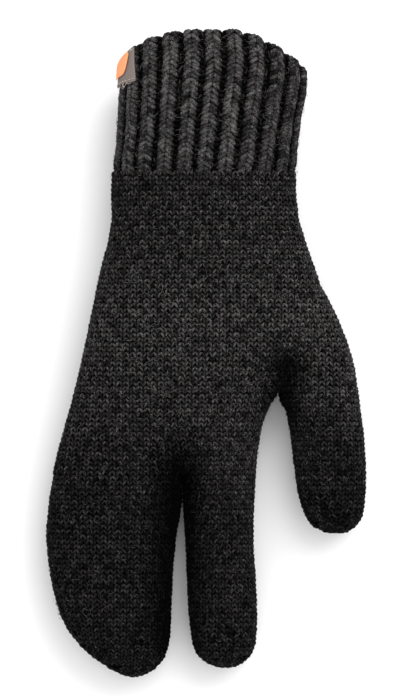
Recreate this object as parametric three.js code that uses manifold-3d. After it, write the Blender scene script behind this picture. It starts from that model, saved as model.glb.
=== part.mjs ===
import * as THREE from "three";
import Module from "manifold-3d";

// A three-finger wool glove for the right hand, lying palm down, back of the hand up. It has a
// ribbed cuff, a plain knitted hand, one wide pouch for three fingers, an index finger, a thumb
// and a small sewn label. Millimetres: X runs to the thumb side, Y to the cuff, Z up.

// Driving dimensions
const WALL = 3; // thickness of the knitted wall
const GAP = 0.3; // clearance between neighbouring pieces
const WRIST_Y = 75; // where the ribbed cuff meets the plain hand
const FORK_Y = -50; // where the pouch and the index finger part
const FORK_X = -9.8; // the line between the pouch and the index finger
const THUMB_Y = -22; // where the thumb leaves the hand
const CREASE_WIDTH = 7; // half width of the crease that runs up the hand from the fork
const CREASE_LEAN = -0.16; // how far the crease leans over for each millimetre up the hand
const FINE_STEPS = 360; // points that a section's outline is measured with
const PAST = 1; // how far a hollow runs past the open end that it passes through

// Shape of every cross-section: an oval, fuller than an ellipse, pressed flat underneath
const FULLNESS = 0.88; // power of the oval, where 1 is an ellipse
const BELLY = 0.46; // height of its widest line, as a share of its thickness
const PRESSED = 0.24; // the underside would bulge this share lower if it weren't pressed flat

// Ribs of the cuff
const RIB_COUNT = 22;
const RIB_DEPTH = 2.2; // crest to valley
const RIB_CREST = 0.7; // below 1 the crests are wider than the valleys
const FACES_PER_RIB = 6;
const CUFF_WALL = 2.8;
const CUFF_STEPS = 96; // points around a section that the ribs are set out from
const RIM_ROUND = 0.8; // how far the rim stands past the edge of its two faces

// The rim slants: it is highest on the back of the hand and lowest at the palm
const RIM_TOP = 134;
const RIM_SLOPE = 0.62; // fall along Y for each millimetre down the upper half
const RIM_PALM_SLOPE = 0.4; // the same for the lower half
const RIM_DROOP = { turn: 0.815, width: 0.075, fall: 5.3 }; // soft dip on the thumb side

// Label, sewn flat to the little-finger side of the cuff. Its upper edge follows the slanting rim,
// which lies below it by so much. from and to are its ends, each as a share of the cuff's girth at
// the upper and at the lower edge, and foot is the height of the lower edge at both ends
const TAPE = { from: [0.172, 0.163], to: [0.262, 0.254], below: 0.6, foot: [112.6, 110.4] };
const TAPE_LIFT = 0.4; // the tape's clearance over the crests of the ribs
const TAPE_THICK = 0.8;
const PATCH = { from: [0.179, 0.193], to: [0.255, 0.249], below: 1.4, foot: [114.8, 112.8] };
const PATCH_THICK = 0.5;

// Sections of the cuff from the rim to the wrist
const CUFF_ROWS = [
  { y: 135, left: -33.6, right: 37.6, top: 43.4, bottom: 0 },
  { y: 122, left: -34.9, right: 40.8, top: 44.6, bottom: 0 },
  { y: 114, left: -35.4, right: 42.2, top: 45, bottom: 0 },
  { y: 108, left: -35.9, right: 41.4, top: 44.5, bottom: 0 },
  { y: 101, left: -36.4, right: 39.7, top: 43.5, bottom: 0 },
  { y: 91, left: -36.8, right: 38.5, top: 41.5, bottom: 0 },
  { y: 82, left: -37.9, right: 37.7, top: 39.5, bottom: 0 },
  { y: 75, left: -38.9, right: 37.2, top: 38.5, bottom: 0 },
];

// Sections of the hand without the thumb, from the wrist to the fork. crease is how far the
// section is pinched at the line between the pouch and the index finger
const HAND_ROWS = [
  { y: 76, left: -38.9, right: 37.2, top: 38.5, bottom: 0, crease: 0 },
  { y: 68, left: -39.2, right: 37.1, top: 38.5, bottom: 0, crease: 0 },
  { y: 56, left: -38.9, right: 38.4, top: 38.5, bottom: 0, crease: 0 },
  { y: 46, left: -40.6, right: 41.4, top: 39, bottom: 0, crease: 0 },
  { y: 36, left: -43.5, right: 45, top: 39.5, bottom: 0, crease: 0 },
  { y: 26, left: -45.6, right: 48.2, top: 39.5, bottom: 0, crease: 0 },
  { y: 16, left: -47.6, right: 49.4, top: 39.2, bottom: 0, crease: 0 },
  { y: 6, left: -49.7, right: 46.4, top: 38.6, bottom: 0, crease: 0 },
  { y: -4, left: -51.8, right: 39.4, top: 37.8, bottom: 0, crease: 0 },
  { y: -14, left: -54.3, right: 31.6, top: 36.8, bottom: 0, crease: 0.02 },
  { y: -21, left: -56, right: 26.6, top: 36, bottom: 0, crease: 0.07 },
  { y: -28, left: -58, right: 23.6, top: 35.2, bottom: 0, crease: 0.17 },
  { y: -35, left: -59.9, right: 22.1, top: 34.2, bottom: 0, crease: 0.32 },
  { y: -42, left: -61.4, right: 21.2, top: 33, bottom: 0, crease: 0.52 },
  { y: -51, left: -63.2, right: 20.4, top: 31.8, bottom: 0, crease: 0.75 },
];

// Sections of the pouch, from the fork to the tip
const POUCH_ROWS = [
  { y: -50, left: -63.2, right: -10.1, top: 32, bottom: 0 },
  { y: -60, left: -65, right: -10.1, top: 31.2, bottom: 0 },
  { y: -69, left: -66, right: -11.4, top: 30.4, bottom: 0 },
  { y: -76, left: -66.4, right: -12.6, top: 30, bottom: 0 },
  { y: -88, left: -65.3, right: -13.8, top: 29.4, bottom: 0 },
  { y: -99, left: -63.4, right: -14.4, top: 28.8, bottom: 0 },
  { y: -109, left: -60.5, right: -14.8, top: 28, bottom: 0 },
  { y: -116, left: -56.8, right: -15, top: 26.8, bottom: 0.6 },
  { y: -122, left: -51.8, right: -15.8, top: 25, bottom: 1.8 },
  { y: -127, left: -46, right: -17.8, top: 22.6, bottom: 3.6 },
  { y: -131, left: -39.8, right: -21.2, top: 19.6, bottom: 6.2 },
  { y: -133.6, left: -34.6, right: -25.6, top: 16.6, bottom: 9 },
];
const POUCH_TIP = { x: -30, y: -134.8, z: 12.8 };

// Sections of the index finger, from the fork to the tip
const INDEX_ROWS = [
  { y: -50, left: -9.5, right: 20.5, top: 28.2, bottom: 0 },
  { y: -60, left: -9.5, right: 19.9, top: 27.4, bottom: 0 },
  { y: -69, left: -8.9, right: 19.6, top: 26.8, bottom: 0 },
  { y: -80, left: -8.3, right: 19.6, top: 26.4, bottom: 0 },
  { y: -93, left: -7.7, right: 20.4, top: 26, bottom: 0 },
  { y: -106, left: -7.1, right: 21, top: 25.6, bottom: 0 },
  { y: -115, left: -6.3, right: 21, top: 24.8, bottom: 0.6 },
  { y: -121, left: -5.4, right: 20.4, top: 23.4, bottom: 1.8 },
  { y: -125.4, left: -3.6, right: 18.9, top: 21.2, bottom: 3.8 },
  { y: -128.6, left: 0.2, right: 15.4, top: 18.4, bottom: 6.4 },
  { y: -130.1, left: 4, right: 12.4, top: 15.6, bottom: 9 },
];
const INDEX_TIP = { x: 8.6, y: -130.8, z: 12.2 };

// Sections of the thumb, from where it grows out of the hand to the tip
const THUMB_ROWS = [
  { y: 40, left: 20, right: 40, top: 20, bottom: 1.2 },
  { y: 26, left: 25, right: 49.2, top: 26, bottom: 1.2 },
  { y: 16, left: 27.5, right: 54.3, top: 28.4, bottom: 1.2 },
  { y: 6, left: 29, right: 58.4, top: 29.4, bottom: 1.2 },
  { y: -4, left: 29.6, right: 61.4, top: 29.6, bottom: 1.2 },
  { y: -14, left: 29.8, right: 63, top: 29.2, bottom: 0.8 },
  { y: -20, left: 31.2, right: 63.8, top: 28.8, bottom: 0.5 },
  { y: -24, left: 33.8, right: 64.3, top: 28.4, bottom: 0.3 },
  { y: -34, left: 35.6, right: 65.6, top: 27.4, bottom: 0 },
  { y: -46, left: 36.9, right: 66.4, top: 26.6, bottom: 0 },
  { y: -56, left: 38.2, right: 66.4, top: 25.6, bottom: 0.5 },
  { y: -63, left: 39.9, right: 66, top: 24, bottom: 1.6 },
  { y: -68.4, left: 42, right: 64.9, top: 21.6, bottom: 3.6 },
  { y: -72, left: 45, right: 62.2, top: 18.8, bottom: 6.2 },
  { y: -74, left: 49.3, right: 59.2, top: 16, bottom: 8.8 },
];
const THUMB_TIP = { x: 54.6, y: -74.8, z: 12.4 };

const wasm = await Module();
wasm.setup();

// How steeply a named column changes along Y at a row, and level where it turns back
function steepness(rows, k, name) {
  const [before, here, after] = [rows[Math.max(k - 1, 0)], rows[k], rows[k + 1] ?? rows[k]];
  const inside = k > 0 && k < rows.length - 1;
  const turnsBack = (here[name] - before[name]) * (after[name] - here[name]) <= 0;
  return inside && turnsBack ? 0 : (after[name] - before[name]) / (after.y - before.y);
}

// A section between the rows of a table, on smooth curves through them
function sectionAt(rows, y) {
  const passed = rows.findIndex((row) => row.y <= y);
  const end = Math.max(passed < 0 ? rows.length - 1 : passed, 1);
  const [from, to] = [rows[end - 1], rows[end]];
  const span = to.y - from.y;
  const t = Math.min(Math.max((y - from.y) / span, 0), 1);
  const section = {};
  for (const name of Object.keys(from)) {
    const [leave, arrive] = [steepness(rows, end - 1, name), steepness(rows, end, name)];
    section[name] =
      (2 * t ** 3 - 3 * t ** 2 + 1) * from[name] +
      (t ** 3 - 2 * t ** 2 + t) * span * leave +
      (3 * t ** 2 - 2 * t ** 3) * to[name] +
      (t ** 3 - t ** 2) * span * arrive;
  }
  return { ...section, y };
}

const fuller = (v) => Math.sign(v) * Math.abs(v) ** FULLNESS;

// A point on a section, where turn runs from the middle of the back round the little-finger
// side. An inset moves it into the wall, which keeps its thickness under the crease
function ovalPoint(row, turn, inset) {
  const angle = Math.PI / 2 + turn * 2 * Math.PI;
  const [across, rise] = [fuller(Math.cos(angle)), fuller(Math.sin(angle))];
  const at = (deep) => {
    const [left, right] = [row.left + deep, row.right - deep];
    const [top, bottom] = [row.top - deep, row.bottom + deep];
    const belly = bottom + (top - bottom) * BELLY;
    const depth = (belly - bottom) * (1 + PRESSED);
    const z = rise > 0 ? belly + (top - belly) * rise : Math.max(bottom, belly + depth * rise);
    return { x: (left + right) / 2 + ((right - left) / 2) * across, z, belly };
  };
  const [face, point] = [at(0), at(inset)];
  const valley = FORK_X + CREASE_LEAN * (row.y - FORK_Y);
  const pinch = (row.crease ?? 0) * Math.exp(-(((face.x - valley) / CREASE_WIDTH) ** 2));
  return { x: point.x, y: row.y, z: point.z + (face.belly - face.z) * pinch };
}

// A closed ring of evenly spaced points around a section
function ring(row, sides, inset = 0) {
  const points = Array.from({ length: FINE_STEPS + 1 }, (_, i) => ovalPoint(row, i / FINE_STEPS, inset));
  const run = [0];
  for (let i = 1; i <= FINE_STEPS; i += 1) {
    const step = Math.hypot(points[i].x - points[i - 1].x, points[i].z - points[i - 1].z);
    run.push(run[i - 1] + step);
  }
  const even = [];
  let i = 1;
  for (let n = 0; n < sides; n += 1) {
    const goal = (run[FINE_STEPS] * n) / sides;
    while (run[i] < goal) i += 1;
    const t = (goal - run[i - 1]) / (run[i] - run[i - 1]);
    const [a, b] = [points[i - 1], points[i]];
    even.push({ x: a.x + (b.x - a.x) * t, y: row.y, z: a.z + (b.z - a.z) * t });
  }
  return even;
}

// A closed surface through rings. It ends in two caps, or meets itself again when it is a loop
function loft(rings, { loop = false, tip = null } = {}) {
  const sides = rings[0].length;
  const points = rings.flat();
  const faces = [];
  const turns = loop ? rings.length : rings.length - 1;
  for (let j = 0; j < turns; j += 1) {
    const next = (j + 1) % rings.length;
    for (let i = 0; i < sides; i += 1) {
      const [a, b] = [j * sides + i, j * sides + ((i + 1) % sides)];
      const [c, d] = [next * sides + i, next * sides + ((i + 1) % sides)];
      faces.push(a, b, c, b, d, c);
    }
  }
  if (!loop) {
    const middle = (list) => {
      const sum = list.reduce((s, p) => ({ x: s.x + p.x, y: s.y + p.y, z: s.z + p.z }));
      return { x: sum.x / sides, y: sum.y / sides, z: sum.z / sides };
    };
    const last = (rings.length - 1) * sides;
    const start = points.push(middle(rings[0])) - 1;
    const end = points.push(tip ?? middle(rings.at(-1))) - 1;
    for (let i = 0; i < sides; i += 1) {
      const next = (i + 1) % sides;
      faces.push(start, next, i, end, last + i, last + next);
    }
  }
  return { points, faces };
}

function solid({ points, faces }) {
  const vertProperties = new Float32Array(points.flatMap((p) => [p.x, p.y, p.z]));
  const triVerts = new Uint32Array(faces);
  return new wasm.Manifold(new wasm.Mesh({ numProp: 3, vertProperties, triVerts }));
}

// The rows of a table from one height down to another, with a row at each of the two
function stretch(rows, from, to) {
  const inner = rows.filter((row) => row.y < from && row.y > to);
  return [sectionAt(rows, from), ...inner, sectionAt(rows, to)];
}

// A soft stall: open at one end, closed at the tip, with its hollow one wall short of the tip
function stall(rows, tip, open, sides) {
  const end = rows.at(-1).y;
  const outer = loft(stretch(rows, open, end).map((row) => ring(row, sides)), { tip });
  const roomy = (row) => row.y > tip.y + 2 * WALL && row.top - row.bottom > 3 * WALL;
  const [first, ...kept] = stretch(rows, open, end).filter(roomy);
  const rings = [{ ...first, y: first.y + PAST }, ...kept].map((row) => ring(row, sides, WALL));
  const inner = loft(rings, { tip: { ...tip, y: tip.y + WALL } });
  return solid(outer).subtract(solid(inner));
}

// A point on the cuff, moved out from the line of its crests
function cuffPoint(turn, y, out) {
  const around = ring(sectionAt(CUFF_ROWS, y), CUFF_STEPS);
  const at = turn * around.length;
  const i = Math.floor(at);
  const [a, b] = [around[i % around.length], around[(i + 1) % around.length]];
  const run = Math.hypot(b.x - a.x, b.z - a.z);
  const normal = { x: (b.z - a.z) / run, z: -(b.x - a.x) / run };
  const t = at - i;
  const x = a.x + (b.x - a.x) * t + normal.x * out;
  const z = a.z + (b.z - a.z) * t + normal.z * out;
  return { x, y, z };
}

// How far along Y the rim lies, at a turn around the mouth
function rimHeight(turn) {
  const section = sectionAt(CUFF_ROWS, RIM_TOP);
  const belly = section.top * BELLY;
  const { z } = cuffPoint(turn, RIM_TOP, 0);
  const upper = section.top - Math.max(z, belly);
  const lower = belly - Math.min(z, belly);
  const droop = RIM_DROOP.fall * Math.exp(-(((turn - RIM_DROOP.turn) / RIM_DROOP.width) ** 2));
  return RIM_TOP - upper * RIM_SLOPE - lower * RIM_PALM_SLOPE - droop;
}

// A ring around the cuff at a share of the way from the wrist to the rim. It waves with the
// ribs, and past moves it further along Y
function cuffRing(share, deep, past = 0) {
  const sides = RIB_COUNT * FACES_PER_RIB;
  const wrist = WRIST_Y + GAP / 2;
  return Array.from({ length: sides }, (_, i) => {
    const turn = i / sides;
    const y = wrist + (rimHeight(turn) - wrist) * share;
    const wave = (0.5 + 0.5 * Math.cos(turn * RIB_COUNT * 2 * Math.PI)) ** RIB_CREST;
    return { ...cuffPoint(turn, y, RIB_DEPTH * (wave - 1) - deep), y: y + past };
  });
}

function makeCuff() {
  const shares = [1, 0.8, 0.55, 0.28, 0];
  const outer = shares.map((share) => cuffRing(share, 0));
  const inner = shares.map((share) => cuffRing(share, CUFF_WALL)).reverse();
  const rim = cuffRing(1, CUFF_WALL / 2, RIM_ROUND);
  return solid(loft([...outer, ...inner, rim], { loop: true }));
}

// A thin plate that lies on the cuff under its rim
function plate({ from, to, below, foot }, lift, thick) {
  const [across, along] = [12, 4];
  const between = (a, b, share) => a + (b - a) * share;
  const grid = (out) =>
    Array.from({ length: along + 1 }, (_, j) =>
      Array.from({ length: across + 1 }, (_, i) => {
        const [side, up] = [i / across, j / along];
        const upper = between(from[0], to[0], side);
        const turn = between(between(from[1], to[1], side), upper, up);
        const y = between(between(foot[0], foot[1], side), rimHeight(upper) - below, up);
        return cuffPoint(turn, y, out);
      }),
    );
  const [under, over] = [grid(lift), grid(lift + thick)];
  const points = [...under.flat(), ...over.flat()];
  const width = across + 1;
  const half = width * (along + 1);
  const faces = [];
  for (let j = 0; j < along; j += 1) {
    for (let i = 0; i < across; i += 1) {
      const a = j * width + i;
      const [b, c, d] = [a + 1, a + width, a + width + 1];
      faces.push(a, b, c, b, d, c);
      faces.push(half + a, half + c, half + b, half + b, half + c, half + d);
    }
  }
  const edge = [];
  for (let i = 0; i < across; i += 1) edge.push(i);
  for (let j = 0; j < along; j += 1) edge.push(j * width + across);
  for (let i = across; i > 0; i -= 1) edge.push(along * width + i);
  for (let j = along; j > 0; j -= 1) edge.push(j * width);
  edge.forEach((a, n) => {
    const b = edge[(n + 1) % edge.length];
    faces.push(a, half + a, b, b, half + a, half + b);
  });
  return solid({ points, faces });
}

// The hand is one knitted wall with the base of the thumb, open at the wrist, the fork and the
// thumb, where a knitter picks up the stitches of the stalls
function makeHand() {
  const [wrist, fork, thumb] = [WRIST_Y - GAP / 2, FORK_Y + GAP / 2, THUMB_Y + GAP / 2];
  const palm = stretch(HAND_ROWS, wrist, fork);
  const base = stretch(THUMB_ROWS, THUMB_ROWS[0].y, thumb);
  const longer = ([first, ...rest]) => {
    const last = rest.pop();
    return [{ ...first, y: first.y + PAST }, ...rest, { ...last, y: last.y - PAST }];
  };
  const walls = solid(loft(palm.map((row) => ring(row, 56))))
    .add(solid(loft(base.map((row) => ring(row, 28)))));
  const room = solid(loft(longer(palm).map((row) => ring(row, 40, WALL))))
    .add(solid(loft(longer(base).map((row) => ring(row, 24, WALL)))));
  return walls.subtract(room);
}

const finish = { roughness: 1, metalness: 0 };
const wool = (color) => new THREE.MeshStandardMaterial({ ...finish, color });
const pieces = [
  ["cuff", makeCuff(), wool(0x2d2b2c)],
  ["hand", makeHand(), wool(0x272525)],
  ["finger_pouch", stall(POUCH_ROWS, POUCH_TIP, FORK_Y - GAP / 2, 40), wool(0x242222)],
  ["index_finger", stall(INDEX_ROWS, INDEX_TIP, FORK_Y - GAP / 2, 28), wool(0x262424)],
  ["thumb", stall(THUMB_ROWS, THUMB_TIP, THUMB_Y - GAP / 2, 28), wool(0x232121)],
  ["label_tape", plate(TAPE, TAPE_LIFT, TAPE_THICK), wool(0x6f655c)],
  ["label_patch", plate(PATCH, TAPE_LIFT + TAPE_THICK + GAP, PATCH_THICK), wool(0xee9f76)],
];

const glove = new THREE.Group();
for (const [name, piece, material] of pieces) {
  const { vertProperties, triVerts } = piece.getMesh();
  const geometry = new THREE.BufferGeometry();
  geometry.setAttribute("position", new THREE.BufferAttribute(vertProperties, 3));
  geometry.setIndex(new THREE.BufferAttribute(triVerts, 1));
  geometry.computeVertexNormals();
  const mesh = new THREE.Mesh(geometry, material);
  mesh.name = name;
  glove.add(mesh);
}

export default glove;
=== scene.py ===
"""Looks of a dark three-finger wool glove. Every stitch of the knit is a small tube of yarn that
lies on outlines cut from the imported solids. The knit is worked out in millimetres, with X to the
thumb side, Y to the cuff and Z up, and the Blender objects are in metres."""

import itertools
import math

import bpy
import numpy as np
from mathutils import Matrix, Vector
from mathutils.bvhtree import BVHTree


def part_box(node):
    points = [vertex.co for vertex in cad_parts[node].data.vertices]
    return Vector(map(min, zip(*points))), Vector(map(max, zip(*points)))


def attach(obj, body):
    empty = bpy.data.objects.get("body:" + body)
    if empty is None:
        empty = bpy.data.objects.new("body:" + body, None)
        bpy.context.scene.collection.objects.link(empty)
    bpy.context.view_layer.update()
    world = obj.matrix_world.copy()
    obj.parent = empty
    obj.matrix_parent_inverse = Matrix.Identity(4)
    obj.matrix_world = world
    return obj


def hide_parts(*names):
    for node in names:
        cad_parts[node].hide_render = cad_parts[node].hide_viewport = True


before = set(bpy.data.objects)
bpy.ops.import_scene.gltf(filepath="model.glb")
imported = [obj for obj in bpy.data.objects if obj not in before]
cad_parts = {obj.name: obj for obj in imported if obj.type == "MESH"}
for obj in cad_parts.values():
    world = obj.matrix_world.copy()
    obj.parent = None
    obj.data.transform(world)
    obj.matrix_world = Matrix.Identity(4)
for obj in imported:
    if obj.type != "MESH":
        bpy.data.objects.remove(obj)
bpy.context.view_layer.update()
rng = np.random.default_rng(5)

METRES = 0.001  # metres in a millimetre

# Plain knit
COURSE = 2.05  # height of a row of stitches
WALE = 2.85  # width of a column of stitches
CLOSEST = 0.6  # share of WALE that columns are at least apart where a new limb begins
YARN = 0.62  # radius of the yarn
SINK = 0.45  # how deep the yarn's middle line lies under the fabric's face
YARN_FLOOR = 0.02  # its lowest z
REACH = 2.6  # a column goes on in a new limb if it lies this close to its first ring
MOST_NEW = 0.2  # share of the columns that may start or end in one course
FEWEST, SLACK = 4, 0.8  # columns at least, and how many more or less than the girth asks for
ENDING = 0.6  # share of its width that a column which ends takes beside the next one
MOSTLY = 0.8  # share of the fabric where courses are no more than COURSE apart
TINT_SPREAD = 0.24  # how much stitches differ in lightness
TINTS = (0.4, 1.8)  # their least and most, with 1 in the middle
UPPER = 0.72  # stitches over this share of a limb's middle height are on its upper side

# One leg of a plain stitch, with its path, girth and lightness. The path goes from under the
# stitch above, down and out: across in widths of a column, along in courses, rise in millimetres
STITCH = {
    "path": np.array([
        [0.02, -0.66, -0.50],
        [0.13, -0.46, 0.20],
        [0.29, -0.16, 0.36],
        [0.40, 0.26, 0.10],
        [0.44, 0.74, -0.85],
    ]),
    "swell": np.array([0.80, 1.0, 1.06, 1.0, 0.80]),
    # painted light along the leg: light on its crown, dark where it dips under
    "painted_light": np.array([0.35, 1.0, 1.0, 0.55, 0.05]),
}
UNDER_STITCH = {key: line[[0, 1, 3, 4]] for key, line in STITCH.items()}  # for the palm side
# How much stitches differ in the same units, girth as a share, leg for one leg beside the other
SWAY = {"across": 0.035, "along": 0.05, "rise": 0.07, "girth": 0.05, "leg": 0.025}

# Ribbed cuff
RIBS = 22
RIB_COURSES = 29
RIB_YARN, INNER_YARN, PURL_YARN = 0.98, 0.85, 0.8
RIB_LOOSE = 0.4  # its stitches stray this share as far to the side as plain ones do
RIB_TOP, RIB_FOOT = 0.985, 0.012  # its first and last course, as shares of the cuff's height
INSIDE_TOP, INSIDE_DEPTH = 0.97, 0.62  # top and depth of the band inside the mouth, in shares
RIB_BLUR, CREST_BLUR = 3.6, 0.3  # softening that takes the ribs out of a section or leaves them in
RIB_STITCH = {
    "path": np.array([
        [0.012, -0.78, 0.10],
        [0.080, -0.38, 0.70],
        [0.175, 0.02, 0.66],
        [0.272, 0.42, 0.34],
        [0.345, 0.80, -0.40],
    ]),
    "swell": np.array([0.85, 1.0, 1.05, 1.0, 0.8]),
    # painted light along the leg: light on its crown, dark where it dips under
    "painted_light": np.array([0.45, 1.0, 1.0, 0.8, 0.25]),
}
INNER_STITCH = {**RIB_STITCH, "path": RIB_STITCH["path"] * [1, 1, 0.55]}
RIB_SINK = (0.55, 0.3, 0.12)  # how far the lowest courses sink in, from the wrist up
# Path of a bar in the valley between two ribs
PURL = np.array([
    [0.34, 0.12, -1.5],
    [0.42, -0.06, -1.05],
    [0.50, -0.12, -0.95],
    [0.58, -0.06, -1.05],
    [0.66, 0.12, -1.5],
])
PURL_SWELL = np.array([0.8, 1, 1.05, 1, 0.8])
PURL_SWAY = {"across": 0.01, "along": 0.08}
INNER_PURL = PURL * [1, 1, 0.45]

# Rim of the cuff
HUB = (1.3, 21.0)  # x and z of the line that bearings round the cuff are taken from
RIM_BINS, RIM_WAVES = 66, 6  # bearings where its height is taken, and waves of it that are kept
RIM_ROUND = 1.9  # how far the rim's roll stands over the cuff's wall
RIM_EDGE = 0.9  # how far the course along the rim's edge lies over the courses beside it

# Outlines
SAMPLES = 720  # points around a section
NEAR_END = 0.25  # a plane this close to the end of a solid is moved off it
BLUR = 1.6  # softening of a section, which hides the facets of the solids
WRIST_ROOM = 0.6  # the hand's first course lies this far under the wrist
TIP_GIRTH = 8  # a limb is closed where its girth is under this
TIP_ROOM = 0.3  # its last course is at least this far over the end of the solid
TIP_DROP, TIP_SHRINK = 0.1, 0.12  # the small ring past it that its stitches are drawn in to
EASE_LENGTH = 20  # the hand bends over this length to meet the limbs below the fork
EASE_CLEAR = 2.5  # but not to meet their flanks this close to the gap
EASE_BLUR = 2.5  # softening of that bend

# Near-black wall under the stitches: painted shade in the gaps between them
SKIN_POINTS = 90
SKIN_OUT, SKIN_IN = 0.95, 2.3  # depths of its two faces
SKIN_TIP = 0.15  # its outer face ends this share of the way from the last ring to a solid's tip
SKIN_TIP_ROOM = 1.2  # its inner face ends this far past its last ring
ROOMY = 30  # that ring is the last one with a girth over this
SKIN_FLOOR = 0.1  # its lowest z
CUFF_SKIN_POINTS, CUFF_SKIN_RINGS = 240, 14
CUFF_SKIN_TOP, CUFF_SKIN_FOOT = 0.99, 0.004  # shares of the cuff's height
CUFF_SKIN_OUT, CUFF_SKIN_IN = 0.75, -0.55  # how far its faces lie from the solid's, to the middle
CUFF_SKIN_BLUR = 0.5

# Loose fibres
FUZZ_DENSITY, RIB_FUZZ_DENSITY = 0.09, 0.17  # their number in a square millimetre
FUZZ_RADIUS = 0.05
FUZZ_LENGTH, FUZZ_VARIED = 2.3, 0.7  # their mean length and how much it differs
FUZZ_BOW = 0.5  # how far they bow along the fabric
FUZZ_ARCH = (0.1, 0.22)  # how far they arch out of it, at least and how much it differs
FUZZ_SWELL = np.array([0.6, 1, 1, 0.5])
FUZZ_TINT_SPREAD = 0.5
STRAIGHT = 0.85  # none grow where a stall has less than this share of its largest girth
FUZZ_LEVEL = (0.2, 0.35)  # their least and most height over the outline, without the arch
RIB_FUZZ_LEVEL = (0.5, 1.9)
FUZZ_FLOOR = 3  # there are none this low, under the glove

# Painted shade on the plain knit, by y: darker towards the fingertips and towards the wrist under
# the ribs
SHADE_HEIGHTS = (-135, -62, -32, -8, 15, 45, 76)
SHADE_TONES = (0.47, 0.51, 0.68, 0.82, 0.88, 0.72, 0.60)
# Lightness of the ribs, by x and by y: darker towards the thumb side, and painted shade at their
# foot by the wrist
RIB_SIDE_SPAN = (12, 30)
RIB_SIDE_TONES = (1.0, 0.72)
RIB_FOOT_HEIGHTS = (76, 84)
RIB_FOOT_SHADE = (0.78, 1.0)
# Painted shadows in the clefts by the thumb and the index finger: ends of a line in x and y, reach
# and depth
CLEFT_SHADOWS = (
    ((33, -5), (31, -25), 8, 0.76),
    ((-12, -50), (-14, -118), 10, 0.85),
    ((50, -40), (56, -76), 16, 0.22),
)

# Label
LABEL_STEP = 0.14  # spacing of the points of its cloth
LABEL_SOFT = 6  # times that its points are smoothed, which takes out the solid's facets
WEFT = 0.56  # pitch of its level weave lines
WAVE = 0.314  # scale of a wave texture whose bands are a millimetre apart
SEAM_ROW, SEAM_LENGTH, SEAM_PITCH = 6, 9, 15  # place, length and pitch of its stitches, in points
TAPE = {"thick": 0.6, "relief": 0.045, "edge": 0.5}
PATCH = {"thick": 0.42, "relief": 0.02, "edge": 0.4}
TAPE_ROUNDING, PATCH_ROUNDING = 0.8, 2.2  # radii of their corners
PATCH_FOOT = 0.08  # share of the patch's height left out at its foot
THREAD, LOOSE_THREAD = 0.14, 0.11  # radii of its sewing thread and of the loose ends
ARCH = np.array([-0.25, 0.05, 0.12, 0.12, 0.05, -0.25])  # height of a seam stitch along it
CURL_POINTS, CURL_LIFT = 14, 0.3  # points of a loose thread, and its height over the tape
# Loose threads at its foot: start as a share of its width, reach, bow and lean in millimetres
CURLS = (
    (0.04, 3.6, 1.0, 0.5),
    (0.22, 2.8, 2.2, 0.7),
    (0.42, 3.4, 1.4, 0.9),
    (0.60, 2.2, 0.8, 0.4),
)

# Camera, straight above the lying glove
CAMERA = {"x": 1.05, "y": 1.7, "distance": 2000, "level": 18, "frame": 291.2, "film": 36}

# Light and floor, in metres and watts
WORLD_STRENGTH = 1.72
LAMP_PLACE, LAMP_SIZE, LAMP_POWER = (0.45, 0.62, 0.70), 0.9, 12
FLOOR_REACH, FLOOR_GREY = 4.0, 0.62

PLAIN = ("hand", "finger_pouch", "index_finger", "thumb")
LITTLE_SIDE, NEXT, THUMB_SIDE = 0, 1, -1  # which of the outlines at one height a limb follows


def put(name, data):
    """Adds an object to the scene"""
    made = bpy.data.objects.new(name, data)
    bpy.context.scene.collection.objects.link(made)
    return made


def make_camera():
    data = bpy.data.cameras.new("camera")
    data.sensor_width = CAMERA["film"]
    data.lens = CAMERA["film"] * CAMERA["distance"] / CAMERA["frame"]
    data.clip_start, data.clip_end = 0.05, 20
    camera = put("camera", data)
    height = CAMERA["level"] + CAMERA["distance"]
    camera.location = np.array([CAMERA["x"], CAMERA["y"], height]) * METRES
    bpy.context.scene.camera = camera


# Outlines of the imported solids


def welded(name):
    """Points of a CAD node in millimetres, and its triangles"""
    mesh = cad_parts[name].data
    mesh.calc_loop_triangles()
    points = np.empty(len(mesh.vertices) * 3)
    mesh.vertices.foreach_get("co", points)
    corners = np.empty(len(mesh.loop_triangles) * 3, np.int32)
    mesh.loop_triangles.foreach_get("vertices", corners)
    points = np.round(points.reshape(-1, 3) / METRES, 3)
    points, place = np.unique(points, axis=0, return_inverse=True)
    return points, place.reshape(-1)[corners].reshape(-1, 3)


def outlines(points, triangles, y):
    """Outlines of a mesh in the plane at y, each as x and z. The outer ones all run the same way
    round, and holes the other way"""
    above = points[:, 1] > y
    count = above[triangles].sum(axis=1)
    follow = {}
    for triangle in triangles[(count == 1) | (count == 2)].tolist():
        ends = {}
        for p, q in zip(triangle, triangle[1:] + triangle[:1]):
            if above[p] != above[q]:
                ends[bool(above[p])] = (min(p, q), max(p, q))
        follow[ends[True]] = ends[False]
    found = []
    while follow:
        start = edge = next(iter(follow))
        loop = []
        while edge in follow:
            p, q = points[edge[0]], points[edge[1]]
            share = (y - p[1]) / (q[1] - p[1])
            loop.append((p + (q - p) * share)[[0, 2]])
            edge = follow.pop(edge)
        if edge == start:
            found.append(np.array(loop))
    return found


def area(loop):
    x, z = loop.T
    return 0.5 * np.sum(x * np.roll(z, -1) - np.roll(x, -1) * z)


def run_along(points):
    return np.concatenate([[0], np.cumsum(np.linalg.norm(np.diff(points, axis=0), axis=1))])


def evenly(loop):
    """Points spaced evenly around a closed outline, from its first point"""
    closed = np.vstack([loop, loop[:1]])
    run = run_along(closed)
    goals = np.arange(SAMPLES) * run[-1] / SAMPLES
    return np.column_stack([np.interp(goals, run, column) for column in closed.T])


def girth(ring):
    return np.linalg.norm(np.roll(ring, -1, axis=0) - ring, axis=1).sum()


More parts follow.
